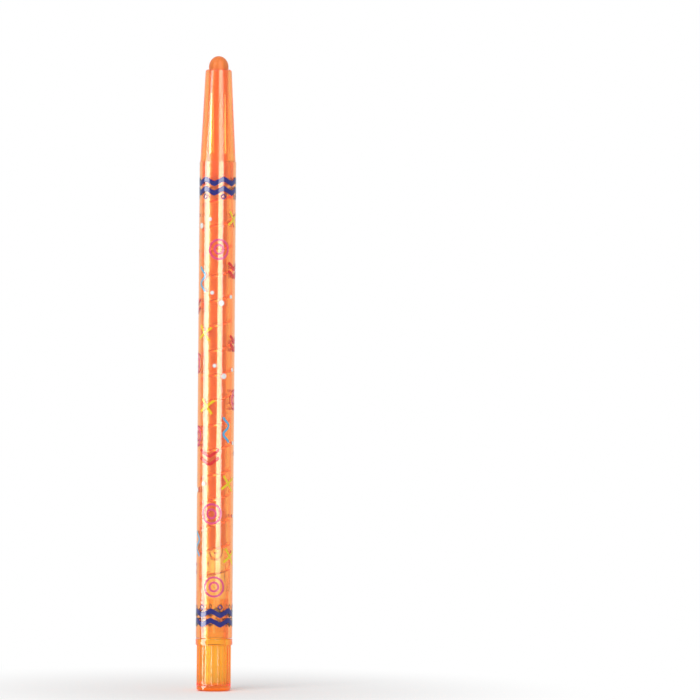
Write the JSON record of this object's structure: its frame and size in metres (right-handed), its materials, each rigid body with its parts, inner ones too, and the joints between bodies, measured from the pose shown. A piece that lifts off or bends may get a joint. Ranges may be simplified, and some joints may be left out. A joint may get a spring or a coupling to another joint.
{
  "type": "twist crayon",
  "caption": "Clear round barrel with a tapered nose and a fluted end knob; turning the knob winds a wax stick in and out of the nose.",
  "frame": {"origin": "centre of the knob's flat end, on the crayon's axis", "axes": "+Z along the crayon's axis, from the knob to the tip; -Y is the side that faces the viewer"},
  "size_m": [0.0092, 0.0092, 0.1585],
  "materials": {
    "barrel_plastic": "clear, lightly tinted",
    "tinted_plastic": "clear, tinted orange",
    "liner_plastic": "clear, lightly tinted",
    "knob_plastic": "clear, tinted amber",
    "holder_plastic": "moulded",
    "wax": "satin wax",
    "print_ink": "printed ink"
  },
  "bodies": {
    "barrel": {"barrel": "barrel_plastic", "nose_cone": "tinted_plastic", "spiral_sleeve": "liner_plastic"},
    "knob": {"twist_knob": "knob_plastic", "drive_tube": "liner_plastic"},
    "wax": {"wax_holder": "holder_plastic", "wax_stick": "wax"}
  },
  "joints": [
    {"name": "knob_twist", "type": "hinge", "parent": "barrel", "child": "knob", "pos_m": [0, 0, 0.0131], "axis": [0, 0, 1], "range_deg": [-450.5, 4770.5]},
    {"name": "wax_feed", "type": "slide", "parent": "knob", "child": "wax", "axis": [0, 0, 1], "range_m": [-0.00775, 0.08215]}
  ],
  "couplings": [
    {"joint": "knob_twist", "follows": "wax_feed", "rad_per_m": 1013.4}
  ]
}
